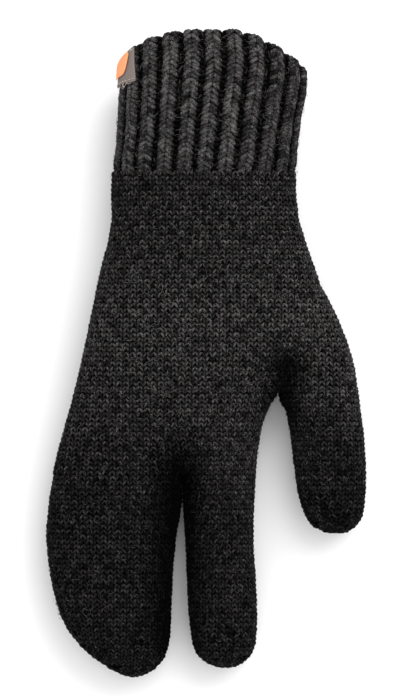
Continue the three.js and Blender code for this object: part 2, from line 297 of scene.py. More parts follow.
def from_top(loop):
    """Starts an outline at the top over its middle, and runs it to the little-finger side first"""
    middle = (loop[:, 0].min() + loop[:, 0].max()) / 2
    upper = loop[:, 1] > loop[:, 1].mean()
    start = np.argmin(np.where(upper, np.abs(loop[:, 0] - middle), np.inf))
    loop = np.roll(loop, -start, axis=0)
    if area(loop) < 0:
        loop = np.roll(loop[::-1], 1, axis=0)
    return loop


def soften(line, blur, length=None):
    """Smooths a closed row of x and z over a distance in millimetres along its length"""
    waves = np.fft.fftfreq(len(line), 1 / len(line)) * 2 * math.pi / (length or girth(line))
    spectrum = np.fft.fft(line[:, 0] + 1j * line[:, 1])
    smooth = np.fft.ifft(spectrum * np.exp(-((waves * blur) ** 2) / 2))
    return np.column_stack([smooth.real, smooth.imag])


solids = {name: welded(name) for name in (*PLAIN, "cuff")}
ends = [edge[1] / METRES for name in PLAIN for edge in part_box(name)]
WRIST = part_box("hand")[1][1] / METRES
LOWEST = {name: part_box(name)[0][1] / METRES for name in PLAIN}
ring_cache = {}


def sections(y):
    """Softened outer outlines of the plain knit at y, from the little finger to the thumb"""
    key = round(y, 3)
    if key not in ring_cache:
        cut = y - 2 * NEAR_END if min(abs(y - end) for end in ends) < NEAR_END else y
        found = []
        for name in PLAIN:
            loops = outlines(*solids[name], cut)
            found += [loop for loop in loops if area(loop) * OUTER > 0]
        found.sort(key=lambda loop: loop[:, 0].mean())
        ring_cache[key] = [evenly(soften(from_top(evenly(loop)), BLUR)) for loop in found]
    return ring_cache[key]


widest = max(outlines(*solids["hand"], 0), key=lambda loop: abs(area(loop)))
OUTER = np.sign(area(widest))


# Limbs, each a list of rings of points down the glove


def lift(ring, y):
    return np.column_stack([ring[:, 0], np.full(len(ring), y), ring[:, 1]])


def limb(which, start, stop):
    """Rings a course apart along most of the fabric, from start down to stop or a closed tip"""
    rings = []
    y = start
    while y >= stop:
        found = sections(y)
        here = lift(found[which], y)
        rings.append(here)
        if girth(here) < TIP_GIRTH or y - stop < 0.1:
            break
        drop = min(COURSE, y - stop)
        for _ in range(3):
            below = sections(y - drop)
            if len(below) != len(found):
                break
            _, off = nearest(here, lift(below[which], y)[::12])
            apart = np.quantile(np.hypot(off, drop), MOSTLY)
            drop = min(drop * COURSE / apart, y - stop)
        y -= max(drop, 0.05)
    return rings


def ease_into(rings, targets, gap):
    """Bends the last rings of a limb to meet the rings that go on from it, but not their flanks
    at the gap between them"""
    last = rings[-1]
    goal = np.concatenate(targets)
    goal = goal[np.abs(goal[:, 0] - gap) > EASE_CLEAR]
    off = np.linalg.norm(last[:, None, [0, 2]] - goal[None, :, [0, 2]], axis=2)
    shift = (goal[off.argmin(axis=1)] - last)[:, [0, 2]]
    shift = lift(soften(shift, EASE_BLUR, girth(last)), 0)
    eased = []
    for ring in rings:
        share = min(max(1 - (ring[0, 1] - last[0, 1]) / EASE_LENGTH, 0), 1)
        eased.append(ring + shift * share * share * (3 - 2 * share))
    return eased


def between(values, spots):
    """Values at places between the entries of a closed row"""
    low = np.floor(spots).astype(int)
    part = (spots - low).reshape(*low.shape, *[1] * (values.ndim - 1))
    return values[low % len(values)] * (1 - part) + values[(low + 1) % len(values)] * part


def at(ring, arc):
    """Points on a ring at distances around it"""
    return between(ring, np.asarray(arc) / girth(ring) * len(ring))


def nearest(ring, points):
    """Distances around a ring of the places nearest to points, and how far off they are"""
    off = np.linalg.norm(ring[None, :, [0, 2]] - points[:, None, [0, 2]], axis=2)
    best = off.argmin(axis=1)
    rows = np.arange(len(points))
    before = off[rows, (best - 1) % len(ring)] ** 2
    after = off[rows, (best + 1) % len(ring)] ** 2
    middle = off[rows, best] ** 2
    bend = np.maximum(before + after - 2 * middle, 1e-9)
    spot = best + np.clip((before - after) / (2 * bend), -0.5, 0.5)
    return spot % len(ring) * girth(ring) / len(ring), off[rows, best]


def gaps(arc, ring):
    return np.diff(arc, append=arc[0] + girth(ring))


def even_out(arc, ring, turns=4, pull=0.45):
    for _ in range(turns):
        after = gaps(arc, ring)
        arc = arc + pull * (after - np.roll(after, 1)) / 2
    return arc


def fill(names, arc, ring, fresh, most):
    """Adds columns in the widest gaps and drops the closest ones, as the girth asks"""
    wanted = max(girth(ring) / WALE, FEWEST)
    for _ in range(most):
        if len(arc) > wanted - SLACK:
            break
        after = gaps(arc, ring)
        i = after.argmax()
        arc = np.insert(arc, i + 1, arc[i] + after[i] / 2)
        names = np.insert(names, i + 1, next(fresh))
    for _ in range(most):
        if len(arc) < wanted + SLACK:
            break
        drop = (gaps(arc, ring).argmin() + 1) % len(arc)
        arc, names = np.delete(arc, drop), np.delete(names, drop)
    return names, arc


def in_order(names, arc):
    start = arc.argmin()
    arc, names = np.roll(arc, -start), np.roll(names, -start)
    return names, np.maximum.accumulate(arc)


def follow_wales(rings, seeds):
    """Columns of stitches down a limb: for each ring their names and distances around it"""
    fresh = itertools.count()
    arc = np.sort(seeds)
    names = np.array([next(fresh) for _ in arc])
    names, arc = fill(names, arc, rings[0], fresh, len(arc))
    arc = even_out(arc, rings[0])
    rows = [(names, arc)]
    for before, ring in zip(rings, rings[1:]):
        arc, _ = nearest(ring, at(before, arc))
        names, arc = in_order(names, arc)
        most = max(2, round(MOST_NEW * len(arc)))
        names, arc = fill(names, even_out(arc, ring), ring, fresh, most)
        rows.append((names, arc))
    return rows


def carry_on(rings, rows, new):
    """Columns of a new limb, which go on from those of the limb over it"""
    arc, off = nearest(new[0], at(rings[-1], rows[-1][1]))
    arc = np.sort(arc[off < REACH])
    keep = np.diff(arc, prepend=arc[0] - WALE) > CLOSEST * WALE
    return follow_wales(new, arc[keep])


# Stitches


def unit(v):
    return v / np.maximum(np.linalg.norm(v, axis=-1, keepdims=True), 1e-9)


def neighbours(rings, rows, j):
    """Arc of each column of course j and its distances to both columns beside it, in the rings
    before, at and after it. A column that ends runs into the one beside it. A ring that isn't
    there gives None"""
    names, arc = rows[j]
    found = []
    for k in (j - 1, j, j + 1):
        if not 0 <= k < len(rings):
            found.append(None)
            continue
        others, places = rows[k]
        after = gaps(places, rings[k])
        widths = np.column_stack([np.roll(after, 1), after])
        places_of = {name: n for n, name in enumerate(others)}
        match = np.array([places_of.get(name, -1) for name in names])
        lost = match < 0
        if lost.any():
            spots, _ = nearest(rings[k], at(rings[j], arc[lost]))
            apart = np.abs(spots[:, None] - places[None])
            match[lost] = np.minimum(apart, girth(rings[k]) - apart).argmin(axis=1)
        line = np.column_stack([places[match], widths[match]])
        line[lost, 1:] *= ENDING
        found.append(line)
    return found


def on_fabric(rings, rows, j, across, along):
    """Places of stitch points on the fabric with the normals there. across is in widths of a
    column and along in courses, both with a row for each column of course j"""
    lines = neighbours(rings, rows, j)

    def sheet(a):
        spots = []
        for k, line in zip((j - 1, j, j + 1), lines):
            if line is not None:
                width = np.where(a < 0, line[:, 1:2], line[:, 2:])
                spots.append(at(rings[k], line[:, :1] + a * width))
        if lines[0] is None:
            spots.insert(0, 2 * spots[0] - spots[1])
        if lines[2] is None:
            spots.append(2 * spots[1] - spots[0])
        up, here, down = spots
        b = along[..., None]
        place = up * b * (b - 1) / 2 + here * (1 - b**2) + down * b * (b + 1) / 2
        return place, (down - up) / 2 + b * (down - 2 * here + up)

    place, downward = sheet(across)
    sideways = sheet(across + 0.1)[0] - sheet(across - 0.1)[0]
    return place, unit(np.cross(sideways, downward))


class Yarns:
    """Collects short closed tubes for one mesh. Each point gets a painted shade value, high (lit)
    on the crown of the yarn and low (shaded) on its underside and where it dips into the fabric"""

    def __init__(self):
        self.points, self.shades, self.quads, self.caps = [], [], [], []
        self.quad_uv, self.quad_cell, self.cap_cell = [], [], []
        self.size = self.count = 0

    def add(self, paths, normals, radii, sides, tone=1, painted_light=None, spread=TINT_SPREAD):
        """paths and normals are (tubes, stations, 3), radii is (tubes, stations), tone is a painted
        shade of each tube and the station values after it are the painted light along the tube"""
        tubes, stations = radii.shape
        if tubes == 0:
            return
        ahead = unit(np.gradient(paths, axis=1))
        aside = unit(np.cross(ahead, normals))
        up = np.cross(aside, ahead)
        angle = 2 * math.pi * np.arange(sides) / sides - math.pi / 2
        turn = np.cos(angle)[:, None] * aside[:, :, None] + np.sin(angle)[:, None] * up[:, :, None]
        points = paths[:, :, None] + turn * radii[:, :, None, None]
        points[..., 2] = np.maximum(points[..., 2], YARN_FLOOR)
        # painted light round the tube: its top lighter, its underside darker
        crown = (np.sin(angle) / np.sin(angle).max() + 1) / 2
        middle = np.ones(stations) if painted_light is None else np.array(painted_light)
        tint = np.clip(rng.normal(1, spread, tubes), *TINTS) * tone
        self.shades.append((middle[:, None] * crown * tint[:, None, None]).ravel())
        first = self.size + np.arange(tubes)[:, None, None] * stations * sides
        station = np.arange(stations - 1)[None, :, None] * sides
        side, following = np.arange(sides), (np.arange(sides) + 1) % sides
        a, b = first + station + side, first + station + following
        quads = np.stack([a, a + sides, b + sides, b], axis=-1)
        starts = first[:, 0] + side
        finishes = first[:, 0] + side[::-1] + (stations - 1) * sides
        self.points.append(points.reshape(-1, 3))
        self.quads.append(quads.reshape(-1, 4))
        self.caps.append(np.stack([starts, finishes], 1).reshape(-1, sides))
        self.lay_out(paths, stations, sides, tubes)
        self.size += tubes * stations * sides
        self.count += tubes

    def lay_out(self, paths, stations, sides, tubes):
        """Lays each tube out twice: by length for the twist of the yarn, and in a cell of its own
        for a picture of the whole piece"""
        run = run_along(paths[0])
        grid = (stations - 1, sides)
        v = np.broadcast_to(np.arange(sides) / sides, grid)

        def corners(u):
            u0 = np.broadcast_to(u[:-1, None], grid)
            u1 = np.broadcast_to(u[1:, None], grid)
            w = v + 1 / sides
            return np.stack([np.stack(c, -1) for c in ((u0, v), (u1, v), (u1, w), (u0, w))], -2)

        slide = rng.uniform(0, 40, (tubes, 1, 1, 1, 1)) * [1, 0]
        self.quad_uv.append((corners(run) + slide).reshape(-1, 2))
        cell = self.count + np.arange(tubes)
        own = corners(0.1 + 0.9 * run / run[-1])
        own = np.broadcast_to(own, (tubes, *own.shape)).reshape(tubes, -1, 2)
        self.quad_cell.append(self.in_cell(own, cell))
        angle = 2 * math.pi * np.arange(sides) / sides
        disc = 0.04 * np.column_stack([np.cos(angle), np.sin(angle)])
        ends = np.concatenate([disc + [0.04, 0.25], disc + [0.04, 0.75]])
        self.cap_cell.append(self.in_cell(np.broadcast_to(ends, (tubes, *ends.shape)), cell))

    @staticmethod
    def in_cell(own, cell):
        number = np.repeat(cell, own.shape[1])
        return np.column_stack([own.reshape(-1, 2), number])

    def make(self, name, material, slot, *nodes):
        quads, caps = np.concatenate(self.quads), [c.ravel() for c in self.caps]
        sizes = [np.full(len(quads), 4)] + [np.full(len(c), c.shape[1]) for c in self.caps]
        lay = [*self.quad_uv] + [np.zeros((len(c), 2)) for c in caps]
        own = np.concatenate(self.quad_cell + self.cap_cell)
        wide = math.ceil(math.sqrt(self.count))
        cell = np.column_stack([own[:, 2] % wide, own[:, 2] // wide])
        maps = {"yarn": np.concatenate(lay), "OFBake": (cell + 0.08 + 0.84 * own[:, :2]) / wide}
        loops = np.concatenate([quads.ravel(), *caps])
        points, shades = np.concatenate(self.points), np.concatenate(self.shades)
        made = piece(name, points, loops, np.concatenate(sizes), material, nodes, maps)
        layer = made.data.attributes.new("shade", "FLOAT", "POINT")
        layer.data.foreach_set("value", shades.astype(np.float32))


def piece(name, points, loops, sizes, material, nodes=(), maps=None):
    mesh = bpy.data.meshes.new(name)
    mesh.vertices.add(len(points))
    mesh.vertices.foreach_set("co", (points * METRES).astype(np.float32).ravel())
    mesh.loops.add(len(loops))
    mesh.loops.foreach_set("vertex_index", loops.astype(np.int32))
    starts = np.concatenate([[0], np.cumsum(sizes)[:-1]])
    mesh.polygons.add(len(sizes))
    mesh.polygons.foreach_set("loop_start", starts.astype(np.int32))
    mesh.polygons.foreach_set("use_smooth", np.ones(len(sizes), bool))
    mesh.update(calc_edges=True)
    for title, places in (maps or {}).items():
        layer = mesh.uv_layers.new(name=title)
        layer.uv.foreach_set("vector", places.astype(np.float32).ravel())
    mesh.materials.append(material)
    made = put(name, mesh)
    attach(made, "root")
    if nodes:
        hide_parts(*nodes)
    return made


def painted_shade(places):
    """Painted shade on the plain knit: darker towards the fingertips, at the wrist under the ribs
    and in the clefts between the limbs
    """
    x, y = places[:, 0], places[:, 1]
    tone = np.interp(y, SHADE_HEIGHTS, SHADE_TONES)
    for (from_x, from_y), (to_x, to_y), reach, depth in CLEFT_SHADOWS:
        along = np.array([to_x - from_x, to_y - from_y])
        share = ((x - from_x) * along[0] + (y - from_y) * along[1]) / (along @ along)
        share = np.clip(share, 0, 1)
        off = np.hypot(x - from_x - share * along[0], y - from_y - share * along[1])
        tone = tone * (1 - depth * np.exp(-((off / reach) ** 2)))
    return tone


def rib_tone_and_shade(places):
    """How light the ribs are: darker towards the thumb side, and painted shade at their foot by the
    wrist
    """
    across = np.interp(places[:, 0], RIB_SIDE_SPAN, RIB_SIDE_TONES)
    return across * np.interp(places[:, 1], RIB_FOOT_HEIGHTS, RIB_FOOT_SHADE)


def knit_course(
    yarns, rings, rows, j, chosen, stitch, radius=YARN, sides=4, sink=SINK, loose=1, painted_tone=painted_shade
):
    """Adds the stitches of one course for the chosen columns"""
    names, arc = rows[j]
    count = len(names)
    # painted shade of the place where each stitch lies
    tone = painted_tone(at(rings[j], arc))
    leg = stitch["path"]
    sway = rng.normal(0, 1, (4, count, 1))
    for mirror in (-1, 1):
        uneven = rng.normal(0, SWAY["leg"], (2, count, 1))
        across = mirror * leg[:, 0] + loose * (SWAY["across"] * sway[0] + uneven[0])
        along = leg[:, 1] + SWAY["along"] * sway[1] + uneven[1]
        spot, normal = on_fabric(rings, rows, j, across, along)
        rise = leg[:, 2] - sink + SWAY["rise"] * sway[2]
        path = spot + normal * rise[..., None]
        girths = radius * stitch["swell"] * (1 + SWAY["girth"] * sway[3])
        picked = [values[chosen] for values in (path, normal, girths)]
        yarns.add(*picked, sides, tone[chosen], stitch["painted_light"])


def close_tip(rings, rows):
    """Adds a small ring past the last one, which the last stitches are drawn in to"""
    last = rings[-1]
    middle = last.mean(axis=0) + np.array([0, -TIP_DROP, 0])
    small = middle + (last - middle) * TIP_SHRINK * [1, 0, 1]
    names, arc = rows[-1]
    return rings + [small], rows + [(names, arc * TIP_SHRINK)]


def knit_limb(rings, rows, back, palm, courses=None):
    """Knits a limb in two meshes, the side seen from above finer than the side it lies on"""
    for j in range(courses or len(rings)):
        middle = at(rings[j], rows[j][1])
        belly = (rings[j][:, 2].max() + rings[j][:, 2].min()) / 2
        upper = middle[:, 2] > belly * UPPER
        knit_course(back, rings, rows, j, upper, STITCH)
        knit_course(palm, rings, rows, j, ~upper, UNDER_STITCH)


def fuzz(name, rings, density, level, material, slot):
    """Loose fibres that curl just over the yarn, at heights in level"""
    fibres = Yarns()
    down = np.array([0, -1.0, 0])
    t = np.linspace(-0.5, 0.5, 4)[None, :, None]
    for ring in rings:
        count = rng.poisson(density * COURSE * girth(ring))
        arc = rng.uniform(0, girth(ring), count)
        foot = at(ring, arc) + down * rng.uniform(0, COURSE, (count, 1))
        aside = unit(at(ring, arc + 0.5) - at(ring, arc - 0.5))
        outward = unit(np.cross(aside, down))
        turn = rng.uniform(0, math.pi, (count, 1))
        along = (np.cos(turn) * aside + np.sin(turn) * down)[:, None]
        across = np.cross(outward, along[:, 0])[:, None]
        length, bow, rise = rng.normal(0, 1, (3, count, 1, 1))
        path = along * t * (FUZZ_LENGTH + FUZZ_VARIED * length)
        path = path + across * (1 - 4 * t * t) * FUZZ_BOW * bow
        height = rng.uniform(*level, (count, 1, 1))
        height = height + (FUZZ_ARCH[0] + FUZZ_ARCH[1] * np.abs(rise)) * (1 - 3 * t * t)
        path = foot[:, None] + path + outward[:, None] * height
        keep = path[:, :, 2].min(axis=1) > FUZZ_FLOOR
        radii = np.tile(FUZZ_RADIUS * FUZZ_SWELL, (count, 1))
        normals = np.repeat(outward[:, None], 4, axis=1)
        # painted shade of the place where each fibre grows
        tone = painted_shade(foot[keep])
        fibres.add(path[keep], normals[keep], radii[keep], 3, tone, spread=FUZZ_TINT_SPREAD)
    fibres.make(name, material, slot)


def inset(ring, deep):
    """Moves a ring into the fabric, at its own height"""
    along = np.roll(ring, -1, axis=0) - np.roll(ring, 1, axis=0)
    outward = unit(np.column_stack([along[:, 2], np.zeros(len(ring)), -along[:, 0]]))
    return ring - outward * deep


def shade_wall(name, rings, material, node_name, tip=None):
    """A near-black hollow wall under the stitches, painted shade in the gaps between them: open at
    both ends or closed at a tip
    """
    step = SAMPLES // SKIN_POINTS
    outer = [inset(ring, SKIN_OUT)[::step] for ring in rings]
    roomy = [ring for ring in rings if girth(ring) > ROOMY]
    inner = [inset(ring, SKIN_IN)[::step] for ring in roomy][::-1]
    if tip is not None:
        cap = outer[-1].mean(axis=0) * (1 - SKIN_TIP) + np.array(tip) * SKIN_TIP
        near = inner[0].mean(axis=0) + np.array([0, -SKIN_TIP_ROOM, 0])
        outer += [np.tile(point, (SKIN_POINTS, 1)) for point in (cap, near)]
    lofted(name, np.array(outer + inner), material, node_name)


def lofted(name, stack, material, node_name):
    """A closed surface through rings of the same number of points, the last joined to the first"""
    count, around, _ = stack.shape
    j = np.arange(count)[:, None]
    i = np.arange(around)[None]
    a, b = j * around + i, j * around + (i + 1) % around
    c, d = (j + 1) % count * around + i, (j + 1) % count * around + (i + 1) % around
    quads = np.stack([a, c, d, b], -1).reshape(-1, 4)
    points = stack.reshape(-1, 3).copy()
    points[:, 2] = np.maximum(points[:, 2], SKIN_FLOOR)
    sizes = np.full(len(quads), 4)
    piece(name, points, quads.ravel(), sizes, material, [node_name])


# Materials


def settle(made, settings):
    """Gives a node its values, by the names of its sockets or of its own settings"""
    for key, value in settings.items():
        if key in made.inputs:
            made.inputs[key].default_value = value
        else:
            setattr(made, key, value)


def shader(name, settings):
    material = bpy.data.materials.new(name)
    material.use_nodes = True
    tree = material.node_tree
    shade = tree.nodes["Principled BSDF"]
    settle(shade, settings)
    return material, tree, shade


def node(tree, kind, sources, result, **settings):
    """Adds a node fed by the outputs in sources, and gives its output called result"""
    made = tree.nodes.new(kind)
    settle(made, settings)
    for key, source in sources.items():
        tree.links.new(source, made.inputs[key])
    return made.outputs[result]


def maths(tree, operation, *values):
    """Each of values is a number or the output of a node"""
    made = tree.nodes.new("ShaderNodeMath")
    made.operation = operation
    for socket, value in zip(made.inputs, values):
        if isinstance(value, float):
            socket.default_value = value
        else:
            tree.links.new(value, socket)
    return made.outputs[0]


def remap(tree, source, least, most, low, high):
    """Stretches a value between least and most to one between low and high"""
    span = {"From Min": least, "From Max": most, "To Min": low, "To Max": high}
    return node(tree, "ShaderNodeMapRange", {"Value": source}, "Result", **span)


def noise(tree, place, scale, detail, roughness=0.5):
    settings = {"Scale": scale, "Detail": detail, "Roughness": roughness}
    return node(tree, "ShaderNodeTexNoise", {"Vector": place}, "Fac", **settings)


def bands(tree, place, direction, scale, distortion=0, detail=2):
    settings = {"Scale": scale, "Distortion": distortion, "Detail": detail}
    settings |= {"wave_type": "BANDS", "bands_direction": direction}
    return node(tree, "ShaderNodeTexWave", {"Vector": place}, "Fac", **settings)


def ramp(tree, source, *stops):
    """A colour between two, each given with its position"""
    colour = node(tree, "ShaderNodeValToRGB", {"Fac": source}, "Color")
    for element, (position, shown) in zip(colour.node.color_ramp.elements, stops):
        element.position = position
        element.color = (*shown, 1)
    return colour


def wool(name, dark, light, sheen, worked=True):
    """Heathered wool. worked is for yarn, which has a twist and a painted light and shade at each
    point
    """
    nap = {"Sheen Weight": sheen, "Sheen Roughness": 0.55, "Sheen Tint": (0.75, 0.74, 0.76, 1)}
    material, tree, shade = shader(name, {"Specular IOR Level": 0.01, **nap})
    place = node(tree, "ShaderNodeTexCoord", {}, "Object")
    heather = noise(tree, place, 420, 3, 0.65)
    flecks = noise(tree, place, 1300, 3, 0.7)
    hairs = noise(tree, place, 2600, 2, 0.6)
    fleck = remap(tree, flecks, 0.32, 0.7, 0.5, 1.5)
    cloud = remap(tree, heather, 0.3, 0.7, 0.6, 1.25)
    amount = maths(tree, "MULTIPLY", fleck, cloud)
    under = {}
    if worked:
        # painted light and shade of the yarn, from the mesh's shade values
        crown = node(tree, "ShaderNodeAttribute", {}, "Fac", attribute_name="shade")
        yarn = node(tree, "ShaderNodeUVMap", {}, "UV", uv_map="yarn")
        drawn = node(
            tree, "ShaderNodeMapping", {"Vector": yarn}, "Vector",
            Scale=(1.5, 15, 1), Rotation=(0, 0, 0.05),
        )
        strand = remap(tree, noise(tree, drawn, 1, 4, 0.7), 0.34, 0.68, 0.05, 2.2)
        spun = maths(tree, "MULTIPLY", maths(tree, "MULTIPLY", amount, crown), strand)
        amount = maths(tree, "MULTIPLY", maths(tree, "POWER", spun, 1.8), 0.5)
        plies = {"Height": bands(tree, yarn, "DIAGONAL", 0.62, 1.6, 1)}
        twist = node(tree, "ShaderNodeBump", plies, "Normal", Strength=0.5, Distance=0.0002)
        under = {"Normal": twist}
    tone = ramp(tree, amount, (0, dark), (1, light))
    dyes = noise(tree, place, 650, 1)
    dye = ramp(tree, dyes, (0.38, (0.94, 0.975, 1.0)), (0.62, (1.0, 0.95, 0.92)))
    mixing = {"data_type": "RGBA", "blend_type": "MULTIPLY", "Factor": 1.0}
    mixed = node(tree, "ShaderNodeMix", {"A": tone, "B": dye}, "Result", **mixing)
    rough = remap(tree, hairs, 0, 1, 0.82, 1.0)
    under["Height"] = hairs
    bump = node(tree, "ShaderNodeBump", under, "Normal", Strength=0.55, Distance=0.00025)
    for key, source in (("Base Color", mixed), ("Roughness", rough), ("Normal", bump)):
        tree.links.new(source, shade.inputs[key])
    return material


def woven(name, base, contrast):
    """Ribbed tape: level threads that vary in tone along their length"""
    material, tree, shade = shader(name, {"Roughness": 0.8, "Specular IOR Level": 0.15})
    lay = node(tree, "ShaderNodeUVMap", {}, "UV", uv_map="weave")
    weft = bands(tree, lay, "Y", WAVE / WEFT, 0.5)
    warp = bands(tree, lay, "X", WAVE / (0.6 * WEFT))
    stretch = node(tree, "ShaderNodeMapping", {"Vector": lay}, "Vector", Scale=(0.5, 2.2, 1))
    uneven = noise(tree, stretch, 1.6, 4, 0.65)
    threads = maths(tree, "MULTIPLY_ADD", warp, 0.35, weft)
    level = maths(tree, "MULTIPLY", threads, uneven)
    dark = [c * (1 - contrast) for c in base]
    light = [c * (1 + contrast) for c in base]
    tone = ramp(tree, level, (0.05, dark), (0.75, light))
    raised = {"Height": threads}
    bump = node(tree, "ShaderNodeBump", raised, "Normal", Strength=0.6, Distance=0.00012)
    tree.links.new(tone, shade.inputs["Base Color"])
    tree.links.new(bump, shade.inputs["Normal"])
    return material


# The plain knit


def make_plain(materials):
    step = 0.25
    split = WRIST
    while len(sections(split)) == 1:
        split -= step
    stops = {name: low + TIP_ROOM for name, low in LOWEST.items()}

    palm = limb(LITTLE_SIDE, WRIST - WRIST_ROOM, split + step)
    seeds = np.arange(0, girth(palm[0]) - WALE / 2, WALE)
    palm_rows = follow_wales(palm, seeds)

    after = palm[-1][0, 1] - COURSE
    knuckles = limb(LITTLE_SIDE, after, stops["hand"])
    knuckle_rows = carry_on(palm, palm_rows, knuckles)
    thumb = limb(THUMB_SIDE, after, stops["thumb"])
    thumb_rows = carry_on(palm, palm_rows, thumb)

    after = knuckles[-1][0, 1] - COURSE
    pouch = limb(LITTLE_SIDE, after, stops["finger_pouch"])
    index = limb(NEXT, after, stops["index_finger"])
    gap = (pouch[0][:, 0].max() + index[0][:, 0].min()) / 2
    knuckles = ease_into(knuckles, [pouch[0], index[0]], gap)
    pouch_rows = carry_on(knuckles, knuckle_rows, pouch)
    index_rows = carry_on(knuckles, knuckle_rows, index)

    wool_knit, shade_ground = materials["knit"], materials["shade_ground"]
    slot = "plain_knit"
    hand_back, hand_palm = Yarns(), Yarns()
    knit_limb(palm, palm_rows, hand_back, hand_palm)
    knit_limb(knuckles, knuckle_rows, hand_back, hand_palm)
    hand_back.make("hand_back_stitches", wool_knit, slot, "hand")
    hand_palm.make("hand_palm_stitches", wool_knit, slot, "hand")
    shade_wall("hand_shade_wall", palm, shade_ground, "hand")
    shade_wall("knuckle_shade_wall", knuckles, shade_ground, "hand")
    for name, rings, rows in (
        ("finger_pouch", pouch, pouch_rows),
        ("index_finger", index, index_rows),
        ("thumb", thumb, thumb_rows),
    ):
        back, under = Yarns(), Yarns()
        courses = len(rings) - (girth(rings[-1]) < TIP_GIRTH)
        knit_limb(*close_tip(rings[:courses], rows[:courses]), back, under, courses)
        back.make(name + "_back_stitches", wool_knit, slot, name)
        under.make(name + "_palm_stitches", wool_knit, slot, name)
        end = rings[-1].mean(axis=0)
        shade_wall(name + "_shade_wall", rings, shade_ground, name, (end[0], LOWEST[name], end[2]))
        girths = [girth(ring) for ring in rings]
        grown = [ring for ring, here in zip(rings, girths) if here > STRAIGHT * max(girths)]
        fuzz(name + "_fuzz", grown, FUZZ_DENSITY, FUZZ_LEVEL, materials["fuzz"], slot)
    fuzz("hand_fuzz", palm + knuckles, FUZZ_DENSITY, FUZZ_LEVEL, materials["fuzz"], slot)


# The ribbed cuff


def bearing(x, z):
    """Angle round the cuff from the top, to the little-finger side first"""
    return np.arctan2(-(x - HUB[0]), z - HUB[1]) % (2 * math.pi)


def rim_heights():
    """Heights of the cuff's rim at even bearings, without its small waves"""
    x, y, z = solids["cuff"][0].T
    where = (bearing(x, z) / (2 * math.pi) * RIM_BINS).astype(int) % RIM_BINS
    spectrum = np.fft.rfft([y[where == k].max() for k in range(RIM_BINS)])
    spectrum[RIM_WAVES + 1:] = 0
    return np.fft.irfft(spectrum, RIM_BINS)


rim_table = rim_heights()


def rim(x, z):
    return between(rim_table, bearing(x, z) / (2 * math.pi) * RIM_BINS - 0.5)


def make_cuff(materials):
    """The courses follow the slanting rim, so the solid is first straightened: its heights become
    shares of the way from the wrist to the rim"""
    points, triangles = solids["cuff"]
    low = points[:, 1].min()
    straight = points.copy()
    height = rim(points[:, 0], points[:, 2]) - RIM_ROUND - low
    straight[:, 1] = (points[:, 1] - low) / height

    def ring_at(share, outer, blur):
        loops = outlines(straight, triangles, share)
        loops.sort(key=lambda loop: abs(area(loop)))
        loop = loops[-1] if outer else loops[0]
        ring = soften(from_top(evenly(loop)), blur)
        ring = evenly(ring)
        y = low + share * (rim(ring[:, 0], ring[:, 1]) - RIM_ROUND - low)
        return np.column_stack([ring[:, 0], y, ring[:, 1]])

    def phase_of(share, outer):
        """Where the first crest lies, as a share of a rib's pitch"""
        raw, smooth = ring_at(share, outer, CREST_BLUR), ring_at(share, outer, RIB_BLUR)
        out = ((raw - smooth) * (smooth - [HUB[0], 0, HUB[1]])).sum(axis=1)
        wave = np.exp(-2j * math.pi * RIBS * np.arange(SAMPLES) / SAMPLES)
        return (-np.angle((out * wave).sum()) / (2 * math.pi)) % 1

    shares = np.linspace(RIB_TOP, RIB_FOOT, RIB_COURSES)
    outer = [ring_at(share, True, RIB_BLUR) for share in shares]
    phases = [phase_of(share, True) for share in shares]
    inner_shares = np.arange(1 - INSIDE_DEPTH, INSIDE_TOP, 1 / RIB_COURSES)
    inner = [ring_at(share, False, RIB_BLUR) for share in inner_shares]
    inner_phases = [(phase_of(share, False) + 0.5) % 1 for share in inner_shares]

    edge = (outer[0] + inner[-1]) / 2
    edge[:, 1] += RIM_EDGE
    rings = inner + [edge] + outer

    def rib_rows(phases):
        rows = []
        phase = phases[0]
        for ring, new in zip(rings, phases):
            phase += (new - phase + 0.5) % 1 - 0.5
            rows.append((np.arange(RIBS), (np.arange(RIBS) + phase) * girth(ring) / RIBS))
        return rows

    outside = rib_rows([phases[0]] * (len(inner) + 1) + phases)
    inside = rib_rows(inner_phases + [inner_phases[-1]] * (len(outer) + 1))

    rib, lining, valley = Yarns(), Yarns(), Yarns()
    # the ribs take their lightness by side and their painted shade at the foot
    ribbed = {"loose": RIB_LOOSE, "painted_tone": rib_tone_and_shade}
    every = slice(None)
    start = len(inner)
    for j in range(start, len(rings)):
        up = len(rings) - 1 - j
        sink = RIB_SINK[up] if up < len(RIB_SINK) else 0
        knit_course(rib, rings, outside, j, every, RIB_STITCH, RIB_YARN, 6, sink, **ribbed)
    for j in range(start + 1, len(rings)):
        purl_course(valley, rings, outside, j, PURL)
    for j in range(start + 1):
        knit_course(lining, rings, inside, j, every, INNER_STITCH, INNER_YARN, 5, 0, **ribbed)
        purl_course(lining, rings, inside, j, INNER_PURL)
    rib.make("cuff_rib_stitches", materials["rib"], "rib_knit", "cuff")
    valley.make("cuff_valley_stitches", materials["valley"], "rib_knit", "cuff")
    lining.make("cuff_inside_stitches", materials["rib"], "rib_knit", "cuff")

    # near-black wall under the ribs, painted shade in the gaps between them
    step = SAMPLES // CUFF_SKIN_POINTS
    wall_shares = np.linspace(CUFF_SKIN_TOP, CUFF_SKIN_FOOT, CUFF_SKIN_RINGS)
    wall = [inset(ring_at(s, True, CUFF_SKIN_BLUR), CUFF_SKIN_OUT) for s in wall_shares]
    wall += [inset(ring_at(s, False, CUFF_SKIN_BLUR), CUFF_SKIN_IN) for s in wall_shares[::-1]]
    lofted("cuff_shade_wall", np.array(wall)[:, ::step], materials["shade_ground"], "cuff")
    fuzz("cuff_fuzz", outer, RIB_FUZZ_DENSITY, RIB_FUZZ_LEVEL, materials["fuzz"], "rib_knit")


